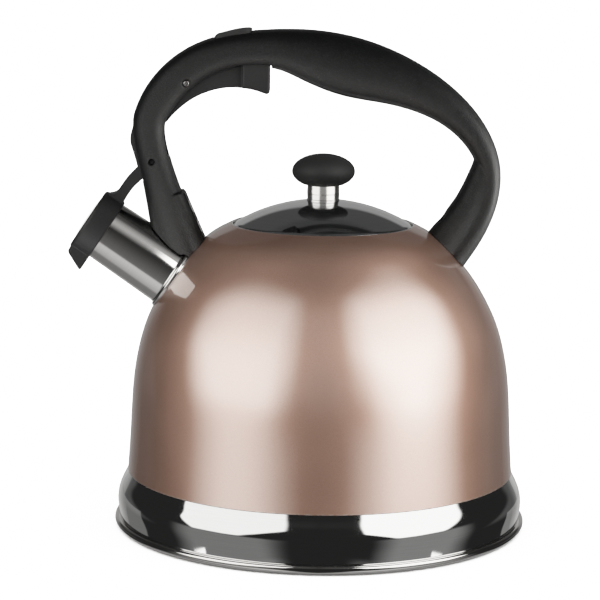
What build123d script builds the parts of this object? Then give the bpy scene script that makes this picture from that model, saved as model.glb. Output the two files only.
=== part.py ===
from build123d import *
import math
import os

os.makedirs("parts", exist_ok=True)

# ------------------------------------------------------------------ dimensions (mm)
# Frame: Z up along the vessel axis, base on Z = 0, spout towards -X.

WALL = 1.0                      # sheet thickness of the vessel

# vessel, outer surface (radius, height)
SEAM_Z = 29.2                   # joint between the polished band and the dome
BODY_OUTER = [(103.0, SEAM_Z), (102.55, 36.0), (101.7, 50.0), (100.95, 65.0),
              (99.8, 80.0), (97.3, 95.0), (92.9, 110.0), (87.2, 122.0),
              (79.75, 134.0), (69.7, 146.0), (59.0, 156.0)]
NECK_R = 48.3                   # radius of the lid opening in the dome
NECK_Z = 161.75                 # height of the dome at the opening
BAND_OUTER = [(103.0, SEAM_Z), (104.5, 26.0), (107.1, 20.4), (108.3, 14.2),
              (107.9, 8.5), (107.4, 4.8)]

# bottom
PAN_TOP = 4.8
PAN_T = 1.0
BEAD_R = 1.9                    # rolled bead at the foot
FOOT_R = 110.0                  # outer radius of the bead
DISC_R = 91.0                   # heat disc
BASE_R = 92.2                   # base cover
BASE_T = 1.2

# lid
LID_R = 47.3
LID_RIM_Z = 161.1
LID_TOP = 174.4
LID_T = 0.9
LID_EDGE_Z = 158.7              # lower edge of the turned-down rim
SEAT_Z = 158.4                  # ledge the lid sits over
SEAT_R = 43.6                   # bore of the seat collar
SKIRT_R = 43.3
SKIRT_Z = 151.0

# knob
KNOB_R = 16.7
KNOB_MID = 189.4
KNOB_TOP = 198.8
KNOB_LOW = 182.4                # top of the sleeve
KNOB_DEEP = 8.9                 # lower half axis of the knob
SLEEVE_R = 8.6
SLEEVE_T = 1.0
BOSS_R = SLEEVE_R - SLEEVE_T    # knob boss inside the sleeve
KSCREW_R = 2.5

# spout: axis in the XZ plane, t along the axis, n across it
SP_ANGLE = 33.8
SP_C, SP_S = math.cos(math.radians(SP_ANGLE)), math.sin(math.radians(SP_ANGLE))
SP_N = 66.1                     # offset of the axis from the origin
SP_ROOT_T, SP_ROOT_R = 130.0, 17.55
SP_MOUTH_T, SP_MOUTH_R = 186.4, 16.25
COLLAR_R = 19.0
COLLAR_T = 141.2

# cap
CAP_IN_T = 182.2                # rim around the spout
CAP_OUT_T = 194.2               # outer face
CAP_R = 17.8
CAP_BORE = 16.9
CAP_FLOOR_T = 188.2
CAP_HOLE = 10.0
PLATE_R = 13.5                  # outer whistle plate

# handle mechanism (XZ positions)
PIN_A = (-72.2, 235.5)          # trigger pivot
PIN_B = (-90.2, 194.3)          # cap lever pivot
NOSE = (-95.5, 206.0)           # trigger nose, works in the notch of the cap lever
NOSE_R = 2.0
NOSE_GAP = 0.4
PIN_R = 1.5
RUN_GAP = 0.05                  # running clearance on the pins
LEVER_HALF = 5.0                # half thickness of both levers
SLOT_HALF = 5.35                # half width of the slot in the handle
PAD_HALF = 8.5                  # half width of the finger block
POCKET_HALF = 9.0
SQUEEZE = 10.0                  # trigger travel, degrees
RATIO = 2.6                     # cap degrees per trigger degree


def sp(t, n):
    """Point in the XZ plane from spout coordinates."""
    return (-SP_C * t + SP_S * (SP_N + n), SP_S * t + SP_C * (SP_N + n))


def spout_r(t):
    """Outer radius of the spout tube."""
    k = (t - SP_ROOT_T) / (SP_MOUTH_T - SP_ROOT_T)
    return SP_ROOT_R + (SP_MOUTH_R - SP_ROOT_R) * k


def inward(pts, d):
    """Offset a profile towards the vessel axis."""
    res = []
    for i, p in enumerate(pts):
        a = pts[max(i - 1, 0)]
        b = pts[min(i + 1, len(pts) - 1)]
        tx, tz = b[0] - a[0], b[1] - a[1]
        m = math.hypot(tx, tz)
        res.append((p[0] - d * abs(tz) / m, p[1] - d * abs(tx) / m))
    return res


def turn(p, centre, deg):
    """Rotate a point in the XZ plane, counter-clockwise seen from -Y."""
    a = math.radians(deg)
    x, z = p[0] - centre[0], p[1] - centre[1]
    return (centre[0] + x * math.cos(a) - z * math.sin(a),
            centre[1] + x * math.sin(a) + z * math.cos(a))


def sphere_z(r, top, radius):
    """Height of a dome of the given radius at distance r from the axis."""
    return top - radius + math.sqrt(radius * radius - r * r)


SPOUT_AXIS = Axis((sp(0, 0)[0], 0, sp(0, 0)[1]), (-SP_C, 0, SP_S))
LID_SPHERE = (LID_R ** 2 + (LID_TOP - LID_RIM_Z) ** 2) / (2 * (LID_TOP - LID_RIM_Z))
NECK_PTS = BODY_OUTER + [(NECK_R, NECK_Z)]

# ------------------------------------------------------------------ tools for trimming
with BuildPart() as dome_tool:
    with BuildSketch(Plane.XZ):
        with BuildLine():
            Spline(*NECK_PTS)
            Polyline((NECK_R, NECK_Z), (0, NECK_Z), (0, SEAM_Z), (103.0, SEAM_Z))
        make_face()
    revolve(axis=Axis.Z)

with BuildPart() as spout_tool:
    with BuildSketch(Plane.XZ):
        with BuildLine():
            Polyline(sp(125, 0), sp(125, COLLAR_R + 0.3), sp(COLLAR_T + 0.5, COLLAR_R + 0.3),
                     sp(COLLAR_T + 1.2, spout_r(COLLAR_T) + 0.6),
                     sp(175, spout_r(175) + 0.5), sp(175, 0), close=True)
        make_face()
    revolve(axis=SPOUT_AXIS)

# ------------------------------------------------------------------ vessel
with BuildPart() as body_shell:
    inner = inward(BODY_OUTER, WALL)
    inner[0] = (BODY_OUTER[0][0] - WALL, SEAM_Z)
    neck_in = (NECK_R, NECK_Z - 1.14)
    with BuildSketch(Plane.XZ):
        with BuildLine():
            Spline(*NECK_PTS)
            Line((NECK_R, NECK_Z), neck_in)
            Spline(*([neck_in] + inner[::-1]))
            Line(inner[0], BODY_OUTER[0])
        make_face()
    revolve(axis=Axis.Z)
    with BuildSketch(Plane.XZ):
        with BuildLine():
            Polyline(sp(115, 0), sp(115, spout_r(140) - WALL), sp(150, spout_r(140) - WALL),
                     sp(150, 0), close=True)
        make_face()
    revolve(axis=SPOUT_AXIS, mode=Mode.SUBTRACT)
body_shell.part.label = "body_shell"
export_step(body_shell.part, "parts/body_shell.step")

with BuildPart() as lower_band:
    band_in = inward(BAND_OUTER, WALL)
    band_in[0] = (BAND_OUTER[0][0] - WALL, SEAM_Z)
    band_in[1] = (103.45, 25.55)
    band_in[2] = (106.15, 20.05)
    band_in[-1] = (BAND_OUTER[-1][0] - WALL, PAN_TOP)
    with BuildSketch(Plane.XZ):
        with BuildLine():
            Spline(*BAND_OUTER)
            Line(BAND_OUTER[-1], band_in[-1])
            Spline(*band_in[::-1])
            Line(band_in[0], BAND_OUTER[0])
        make_face()
    revolve(axis=Axis.Z)
lower_band.part.label = "lower_band"
export_step(lower_band.part, "parts/lower_band.step")

with BuildPart() as bottom_pan:
    with BuildSketch(Plane.XZ):
        with BuildLine():
            Polyline((0, PAN_TOP - PAN_T), (FOOT_R - BEAD_R, PAN_TOP - PAN_T),
                     (FOOT_R - BEAD_R, PAN_TOP), (0, PAN_TOP), close=True)
        make_face()
        with Locations((FOOT_R - BEAD_R, PAN_TOP - BEAD_R)):
            Circle(BEAD_R)
    revolve(axis=Axis.Z)
bottom_pan.part.label = "bottom_pan"
export_step(bottom_pan.part, "parts/bottom_pan.step")

with BuildPart() as heat_spreader:
    with BuildSketch(Plane.XY.offset(BASE_T)):
        Circle(DISC_R)
    extrude(amount=PAN_TOP - PAN_T - BASE_T)
heat_spreader.part.label = "heat_spreader"
export_step(heat_spreader.part, "parts/heat_spreader.step")

with BuildPart() as base_plate:
    with BuildSketch(Plane.XY):
        Circle(BASE_R)
    extrude(amount=PAN_TOP - PAN_T)
    fillet(base_plate.faces().sort_by(Axis.Z)[0].edges(), 0.9)
    with BuildSketch(Plane.XY.offset(BASE_T)):
        Circle(DISC_R)
    extrude(amount=10, mode=Mode.SUBTRACT)
    with BuildSketch(Plane.XY):
        Circle(62.0)
        Circle(60.4, mode=Mode.SUBTRACT)
        Circle(34.0)
        Circle(32.4, mode=Mode.SUBTRACT)
    extrude(amount=0.4, mode=Mode.SUBTRACT)
base_plate.part.label = "base_plate"
export_step(base_plate.part, "parts/base_plate.step")

with BuildPart() as lid_seat_ring:
    with BuildSketch(Plane.XZ):
        with BuildLine():
            Polyline((SEAT_R, 150.5), (SEAT_R + 0.8, 150.5), (SEAT_R + 0.8, SEAT_Z - 0.8),
                     (NECK_R, SEAT_Z - 0.8), (NECK_R, NECK_Z - 0.1), (NECK_R - 0.7, NECK_Z - 0.1),
                     (NECK_R - 0.7, SEAT_Z), (SEAT_R, SEAT_Z), close=True)
        make_face()
    revolve(axis=Axis.Z)
lid_seat_ring.part.label = "lid_seat_ring"
export_step(lid_seat_ring.part, "parts/lid_seat_ring.step")

# ------------------------------------------------------------------ spout
with BuildPart() as spout_tube:
    with BuildSketch(Plane.XZ):
        with BuildLine():
            Polyline(sp(SP_ROOT_T, spout_r(SP_ROOT_T) - WALL), sp(SP_ROOT_T, spout_r(SP_ROOT_T)),
                     sp(SP_MOUTH_T - 0.3, spout_r(SP_MOUTH_T)), sp(SP_MOUTH_T, spout_r(SP_MOUTH_T) - 0.3),
                     sp(SP_MOUTH_T, spout_r(SP_MOUTH_T) - WALL), close=True)
        make_face()
    revolve(axis=SPOUT_AXIS)
    add(dome_tool.part, mode=Mode.SUBTRACT)
spout_tube.part.label = "spout_tube"
export_step(spout_tube.part, "parts/spout_tube.step")

with BuildPart() as spout_collar:
    with BuildSketch(Plane.XZ):
        with BuildLine():
            Polyline(sp(134, spout_r(134)), sp(134, COLLAR_R), sp(COLLAR_T - 1.2, COLLAR_R))
            ThreePointArc(sp(COLLAR_T - 1.2, COLLAR_R), sp(COLLAR_T - 0.55, COLLAR_R - 0.25),
                          sp(COLLAR_T - 0.2, COLLAR_R - 0.9))
            ThreePointArc(sp(COLLAR_T - 0.2, COLLAR_R - 0.9), sp(COLLAR_T + 0.2, COLLAR_R - 1.4),
                          sp(COLLAR_T + 0.9, spout_r(COLLAR_T + 0.9)))
            Line(sp(COLLAR_T + 0.9, spout_r(COLLAR_T + 0.9)), sp(134, spout_r(134)))
        make_face()
    revolve(axis=SPOUT_AXIS)
    add(dome_tool.part, mode=Mode.SUBTRACT)
spout_collar.part.label = "spout_collar"
export_step(spout_collar.part, "parts/spout_collar.step")

# ------------------------------------------------------------------ brackets and screws
STRAP_HALF = 6.5
STRAP_DIR = (0.400, -0.9165)    # along the strap, downwards
STRAP_IN = (-0.9165, -0.400)    # from the strap into the leg
STRAP_TOP = (-73.4, 178.3)      # top corner of the outer face
STRAP_T = 2.8
STRAP_SCREWS = [9.0, 20.5]      # distances down the strap


def strap(u, v):
    return (STRAP_TOP[0] + STRAP_DIR[0] * u + STRAP_IN[0] * v,
            STRAP_TOP[1] + STRAP_DIR[1] * u + STRAP_IN[1] * v)


with BuildPart() as front_bracket:
    with BuildSketch(Plane.XZ):
        with BuildLine():
            Polyline(strap(0.9, 0), strap(42, 0), strap(42, STRAP_T), strap(-0.6, STRAP_T),
                     strap(-0.6, 0.9), close=True)
        make_face()
    extrude(amount=STRAP_HALF, both=True)
    add(dome_tool.part, mode=Mode.SUBTRACT)
    for u in STRAP_SCREWS:
        p = strap(u, 0)
        with Locations(Plane(origin=(p[0], 0, p[1]), x_dir=(0, 1, 0),
                             z_dir=(-STRAP_IN[0], 0, -STRAP_IN[1]))):
            CounterSinkHole(radius=2.0, counter_sink_radius=3.7, depth=12, counter_sink_angle=90)
front_bracket.part.label = "front_bracket"
export_step(front_bracket.part, "parts/front_bracket.step")

with BuildPart() as front_bracket_screws:
    for u in STRAP_SCREWS:
        p = strap(u, 0)
        ax = Axis((p[0], 0, p[1]), (STRAP_IN[0], 0, STRAP_IN[1]))

        def sc(d, r):
            return (p[0] + STRAP_IN[0] * d + STRAP_DIR[0] * r,
                    p[1] + STRAP_IN[1] * d + STRAP_DIR[1] * r)
        with BuildSketch(Plane.XZ):
            with BuildLine():
                Polyline(sc(0, 0), sc(0, 3.7), sc(1.7, 2.0), sc(11.0, 2.0), sc(11.8, 1.0),
                         sc(11.8, 0), close=True)
            make_face()
        revolve(axis=ax)
    for u in STRAP_SCREWS:
        p = strap(u, 0)
        with BuildSketch(Plane(origin=(p[0], 0, p[1]), x_dir=(0, 1, 0),
                               z_dir=(-STRAP_IN[0], 0, -STRAP_IN[1]))):
            Rectangle(3.8, 0.8)
            Rectangle(0.8, 3.8)
        extrude(amount=-1.1, mode=Mode.SUBTRACT)
front_bracket_screws.part.label = "front_bracket_screws"
export_step(front_bracket_screws.part, "parts/front_bracket_screws.step")

REAR_O = (65.2, 148.8)          # foot of the rear leg on the dome
REAR_U = (0.547, 0.837)         # up along the rear leg
REAR_E = (0.837, -0.547)        # outwards across it
TONGUE_T = 2.2
TONGUE_HALF = 6.0
TONGUE_UP = 22.0
REAR_SCREW_UP = 13.0


def rear(u, e):
    return (REAR_O[0] + REAR_U[0] * u + REAR_E[0] * e, REAR_O[1] + REAR_U[1] * u + REAR_E[1] * e)


with BuildPart() as rear_bracket:
    with BuildSketch(Plane.XZ):
        with BuildLine():
            Polyline(rear(-6, -TONGUE_T / 2), rear(-6, TONGUE_T / 2), rear(TONGUE_UP, TONGUE_T / 2),
                     rear(TONGUE_UP, -TONGUE_T / 2), close=True)
        make_face()
    extrude(amount=TONGUE_HALF, both=True)
    with BuildSketch(Plane.XZ):
        with BuildLine():
            Polyline(rear(-8, -6.5), rear(-8, 6.5), rear(2.2, 6.5), rear(2.2, -6.5), close=True)
        make_face()
    extrude(amount=TONGUE_HALF, both=True)
    add(dome_tool.part, mode=Mode.SUBTRACT)
    p = rear(REAR_SCREW_UP, 0)
    with Locations(Plane(origin=(p[0], 0, p[1]), x_dir=(0, 1, 0), z_dir=(REAR_E[0], 0, REAR_E[1]))):
        Cylinder(2.0, 12, mode=Mode.SUBTRACT)
rear_bracket.part.label = "rear_bracket"
export_step(rear_bracket.part, "parts/rear_bracket.step")

HEAD_E = -8.8                   # inner face of the rear screw head
with BuildPart() as rear_bracket_screw:
    def rs(e, r):
        return rear(REAR_SCREW_UP + r, e)
    with BuildSketch(Plane.XZ):
        with BuildLine():
            Polyline(rs(HEAD_E, 0), rs(HEAD_E, 3.0), rs(HEAD_E + 0.7, 3.7), rs(HEAD_E + 2.4, 3.7),
                     rs(HEAD_E + 2.4, 2.0), rs(4.4, 2.0), rs(5.2, 1.2), rs(5.2, 0), close=True)
        make_face()
    revolve(axis=Axis((rear(REAR_SCREW_UP, 0)[0], 0, rear(REAR_SCREW_UP, 0)[1]),
                      (REAR_E[0], 0, REAR_E[1])))
    p = rear(REAR_SCREW_UP, HEAD_E)
    with BuildSketch(Plane(origin=(p[0], 0, p[1]), x_dir=(0, 1, 0), z_dir=(-REAR_E[0], 0, -REAR_E[1]))):
        Rectangle(3.8, 0.8)
        Rectangle(0.8, 3.8)
    extrude(amount=-1.1, mode=Mode.SUBTRACT)
rear_bracket_screw.part.label = "rear_bracket_screw"
export_step(rear_bracket_screw.part, "parts/rear_bracket_screw.step")

# ------------------------------------------------------------------ trigger and cap levers
ARM_A = math.atan2(PIN_A[1] - NOSE[1], PIN_A[0] - NOSE[0])
ARM_DIR = (math.cos(ARM_A), math.sin(ARM_A))

with BuildPart() as finger_block:
    with BuildSketch(Plane.XZ):
        with BuildLine():
            Spline((-43.2, 233.1), (-39.0, 232.6), (-36.3, 232.0), (-33.7, 231.2), (-31.1, 230.35))
            ThreePointArc((-31.1, 230.35), (-29.4, 230.5), (-28.7, 232.2))
            Polyline((-28.7, 232.2), (-28.7, 247.0), (-43.2, 247.0), (-43.2, 233.1))
        make_face()
    extrude(amount=PAD_HALF, both=True)
    block_sides = finger_block.faces().filter_by(Axis.Y)
    fillet(block_sides.edges(), 1.2)

with BuildPart() as trigger_lever:
    with BuildSketch(Plane.XZ):
        with BuildLine():
            Spline((-84.3, 214.1), (-82.6, 215.0), (-80.7, 217.2), (-78.3, 219.8), (-75.4, 222.5),
                   (-72.0, 225.2), (-67.8, 227.9), (-62.6, 230.3), (-57.3, 232.0), (-52.1, 233.0),
                   (-46.8, 233.25), (-41.6, 232.9), (-36.3, 232.0), (-32.0, 230.9))
            Line((-32.0, 230.9), (-31.0, 247.0))
            Spline((-31.0, 247.0), (-45.0, 246.4), (-57.0, 243.8), (-64.5, 241.6), (-71.5, 240.65))
            Polyline((-71.5, 240.65), (-76.4, 238.6), (-80.6, 232.5), (-85.2, 225.0), (-88.4, 218.3),
                     (-85.9, 215.2), (-84.3, 214.1))
        make_face()
        with Locations((PIN_A[0], PIN_A[1])):
            Circle(5.2)
        with Locations((NOSE[0] + ARM_DIR[0] * 8, NOSE[1] + ARM_DIR[1] * 8)):
            SlotCenterToCenter(16, 2 * NOSE_R, rotation=math.degrees(ARM_A))
    extrude(amount=LEVER_HALF, both=True)
    add(finger_block.part)
    with BuildSketch(Plane.XY.offset(243.0)):
        with Locations((-52.0, 0)):
            Circle(2.1)
    extrude(amount=5.2)
    with Locations(Plane(origin=(PIN_A[0], 0, PIN_A[1]), x_dir=(1, 0, 0), z_dir=(0, -1, 0))):
        Cylinder(PIN_R + RUN_GAP, 40, mode=Mode.SUBTRACT)
trigger_lever.part.label = "trigger_lever"
export_step(trigger_lever.part, "parts/trigger_lever.step")

with BuildPart() as spout_cap:
    # cap cup
    with BuildSketch(Plane.XZ):
        with BuildLine():
            Polyline(sp(CAP_IN_T, 0), sp(CAP_IN_T, CAP_R - 0.5), sp(CAP_IN_T + 0.5, CAP_R),
                     sp(CAP_OUT_T - 1.6, CAP_R), sp(CAP_OUT_T - 0.5, CAP_R - 0.5),
                     sp(CAP_OUT_T, CAP_R - 1.6), sp(CAP_OUT_T, 0), close=True)
        make_face()
    revolve(axis=SPOUT_AXIS)
    # finger lip at the lower end
    with BuildSketch(Plane.XZ):
        with BuildLine():
            Polyline(sp(CAP_OUT_T - 0.4, -14.0), sp(CAP_OUT_T - 0.9, -18.9), sp(CAP_OUT_T - 2.0, -20.0),
                     sp(CAP_IN_T + 0.9, -24.1), sp(CAP_IN_T, -23.6), sp(CAP_IN_T, -14.0), close=True)
        make_face()
    extrude(amount=9.0, both=True)
    # arm, heel and hub
    with BuildSketch(Plane.XZ):
        with BuildLine():
            Spline((-100.2, 213.0), (-101.2, 209.8), (-101.8, 206.3), (-101.5, 203.0), (-100.5, 199.8),
                   (-99.5, 196.4), (-98.6, 193.4), (-98.0, 190.9))
            Spline((-98.0, 190.9), (-100.4, 188.5), (-102.5, 186.3), (-104.3, 184.2), (-105.9, 182.0),
                   (-107.3, 179.9), (-108.8, 177.9), (-110.6, 176.9), (-113.0, 176.4), (-115.2, 175.9))
            Polyline((-115.2, 175.9), sp(190.0, 10.0), sp(184.0, 10.0), (-106.2, 170.9))
            Spline((-106.2, 170.9), (-105.0, 172.6), (-104.1, 174.2), (-102.1, 177.4), (-99.6, 180.6),
                   (-98.0, 182.2), (-95.0, 184.9), (-92.0, 188.6))
            Polyline((-92.0, 188.6), PIN_B, (-85.4, 196.0), (-86.0, 200.5), (-87.3, 204.4), (-88.6, 206.8),
                     (-94.8, 211.6), (-98.6, 213.4), (-100.2, 213.0))
        make_face()
        with Locations(PIN_B):
            Circle(5.0)
    extrude(amount=LEVER_HALF, both=True)
    # bore around the spout, steam passage, seat of the outer plate
    with BuildSketch(Plane.XZ):
        with BuildLine():
            Polyline(sp(150, 0), sp(150, CAP_BORE), sp(CAP_FLOOR_T, CAP_BORE), sp(CAP_FLOOR_T, CAP_HOLE),
                     sp(CAP_OUT_T - 1.0, CAP_HOLE), sp(CAP_OUT_T - 1.0, PLATE_R), sp(CAP_OUT_T + 5, PLATE_R),
                     sp(CAP_OUT_T + 5, 0), close=True)
        make_face()
    revolve(axis=SPOUT_AXIS, mode=Mode.SUBTRACT)
    # notch swept by the trigger nose
    with BuildSketch(Plane.XZ):
        for k in range(15):
            th = SQUEEZE * (k - 0.5) / 13.0
            c = turn(turn(NOSE, PIN_A, th), PIN_B, RATIO * th)
            a = ARM_A + math.radians(th + RATIO * th)
            with Locations((c[0] + 10 * math.cos(a), c[1] + 10 * math.sin(a))):
                SlotCenterToCenter(20, 2 * (NOSE_R + NOSE_GAP), rotation=math.degrees(a))
    extrude(amount=20, both=True, mode=Mode.SUBTRACT)
    with Locations(Plane(origin=(PIN_B[0], 0, PIN_B[1]), x_dir=(1, 0, 0), z_dir=(0, -1, 0))):
        Cylinder(PIN_R + RUN_GAP, 40, mode=Mode.SUBTRACT)
spout_cap.part.label = "spout_cap"
export_step(spout_cap.part, "parts/spout_cap.step")

with BuildPart() as whistle_face:
    with BuildSketch(Plane.XZ):
        with BuildLine():
            Spline(sp(CAP_OUT_T + 0.75, 1.5), sp(CAP_OUT_T + 0.68, 5.0), sp(CAP_OUT_T + 0.35, 9.5),
                   sp(CAP_OUT_T - 0.2, PLATE_R - 0.1))
            Polyline(sp(CAP_OUT_T - 0.2, PLATE_R - 0.1), sp(CAP_OUT_T - 1.0, PLATE_R - 0.1),
                     sp(CAP_OUT_T - 1.0, 10.4))
            Spline(sp(CAP_OUT_T - 1.0, 10.4), sp(CAP_OUT_T - 0.35, 8.0), sp(CAP_OUT_T - 0.1, 5.0),
                   sp(CAP_OUT_T, 1.5))
            Line(sp(CAP_OUT_T, 1.5), sp(CAP_OUT_T + 0.75, 1.5))
        make_face()
    revolve(axis=SPOUT_AXIS)
whistle_face.part.label = "whistle_face"
export_step(whistle_face.part, "parts/whistle_face.step")

with BuildPart() as whistle_disc:
    with BuildSketch(Plane.XZ):
        with BuildLine():
            Polyline(sp(CAP_FLOOR_T - 0.6, 1.5), sp(CAP_FLOOR_T - 0.6, 12.6), sp(CAP_FLOOR_T, 12.6),
                     sp(CAP_FLOOR_T, 1.5), close=True)
        make_face()
    revolve(axis=SPOUT_AXIS)
whistle_disc.part.label = "whistle_disc"
export_step(whistle_disc.part, "parts/whistle_disc.step")

with BuildPart() as cap_seal:
    with BuildSketch(Plane.XZ):
        with BuildLine():
            Polyline(sp(CAP_FLOOR_T - 1.4, 13.0), sp(CAP_FLOOR_T - 1.4, CAP_BORE), sp(CAP_FLOOR_T, CAP_BORE),
                     sp(CAP_FLOOR_T, 13.0), close=True)
        make_face()
    revolve(axis=SPOUT_AXIS)
cap_seal.part.label = "cap_seal"
export_step(cap_seal.part, "parts/cap_seal.step")

# ------------------------------------------------------------------ handle
# stations along the arch: outer x, z, inner x, z, half width, roundness
STATIONS = [
    (-83.92, 131.43, -60.09, 139.51, 13.20, 2.50),
    (-87.17, 141.16, -63.35, 148.96, 13.21, 2.51),
    (-89.87, 152.28, -67.38, 159.43, 12.97, 2.50),
    (-91.86, 162.85, -71.28, 169.12, 12.61, 2.49),
    (-93.61, 173.03, -74.91, 178.28, 12.23, 2.49),
    (-95.98, 185.41, -78.89, 189.26, 11.86, 2.53),
    (-98.44, 196.42, -81.75, 198.80, 11.71, 2.61),
    (-100.24, 206.15, -83.36, 206.61, 11.74, 2.70),
    (-100.67, 215.30, -83.39, 213.22, 11.88, 2.79),
    (-97.64, 225.56, -80.02, 219.89, 12.11, 2.89),
    (-91.64, 236.13, -75.54, 225.96, 12.31, 2.97),
    (-82.21, 246.39, -69.90, 231.83, 12.47, 3.02),
    (-71.05, 254.05, -62.62, 237.22, 12.60, 3.04),
    (-58.43, 259.21, -53.35, 241.57, 12.71, 2.99),
    (-46.11, 261.91, -43.47, 243.71, 12.81, 2.90),
    (-33.57, 263.28, -33.17, 244.01, 12.91, 2.76),
    (-20.67, 263.91, -22.83, 242.23, 13.01, 2.58),
    (-8.50, 263.72, -13.01, 237.98, 13.10, 2.43),
    (4.04, 262.46, -2.37, 233.34, 13.18, 2.33),
    (16.89, 259.89, 8.97, 229.63, 13.22, 2.29),
    (29.55, 255.94, 20.37, 227.38, 13.17, 2.29),
    (42.03, 250.58, 31.54, 225.60, 12.99, 2.30),
    (54.70, 243.52, 42.65, 223.06, 12.65, 2.31),
    (67.55, 234.15, 53.96, 219.03, 12.20, 2.30),
    (78.72, 223.06, 64.25, 213.31, 11.76, 2.28),
    (86.54, 211.85, 72.30, 206.33, 11.39, 2.26),
    (90.86, 202.44, 77.54, 199.53, 11.11, 2.24),
    (93.28, 192.74, 81.14, 191.92, 10.93, 2.23),
    (93.57, 182.42, 82.52, 183.44, 10.90, 2.21),
    (91.68, 171.66, 81.39, 174.41, 11.00, 2.20),
    (87.48, 160.19, 77.44, 164.70, 11.18, 2.19),
    (81.95, 149.96, 71.72, 155.66, 11.40, 2.19),
    (75.02, 139.67, 64.38, 145.86, 11.62, 2.19),
    (67.49, 127.99, 56.60, 135.04, 11.79, 2.21),
]
# rib on the inner side of the front leg, in which the strap lies flush
RIB_DEEP = 12.0
RIB_HALF = 11.4
# stations of the web that widens the rear leg
WEB = [
    (90.8, 201.0, 79.3, 198.6, 7.6, 2.3),
    (91.0, 194.0, 78.2, 193.6, 9.0, 2.3),
    (90.6, 185.0, 74.7, 185.6, 9.8, 2.3),
    (88.6, 174.0, 70.2, 176.8, 10.2, 2.3),
    (84.6, 162.6, 64.8, 169.2, 10.5, 2.3),
    (79.4, 152.4, 59.0, 161.8, 10.8, 2.3),
    (73.0, 142.2, 52.6, 153.6, 11.0, 2.3),
    (65.4, 131.6, 45.0, 143.6, 11.2, 2.3),
]


def section(o_x, o_z, i_x, i_z, half, power):
    """Closed superellipse through the outer and inner point of one station."""
    a = math.hypot(o_x - i_x, o_z - i_z) / 2
    pts = []
    for k in range(20):
        f = 2 * math.pi * k / 20
        c, s = math.cos(f), math.sin(f)
        pts.append((a * math.copysign(abs(c) ** (2 / power), c),
                    half * math.copysign(abs(s) ** (2 / power), s)))
    ux, uz = (o_x - i_x) / (2 * a), (o_z - i_z) / (2 * a)
    plane = Plane(origin=((o_x + i_x) / 2, 0, (o_z + i_z) / 2), x_dir=(ux, 0, uz), z_dir=(uz, 0, -ux))
    return plane, pts


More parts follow.
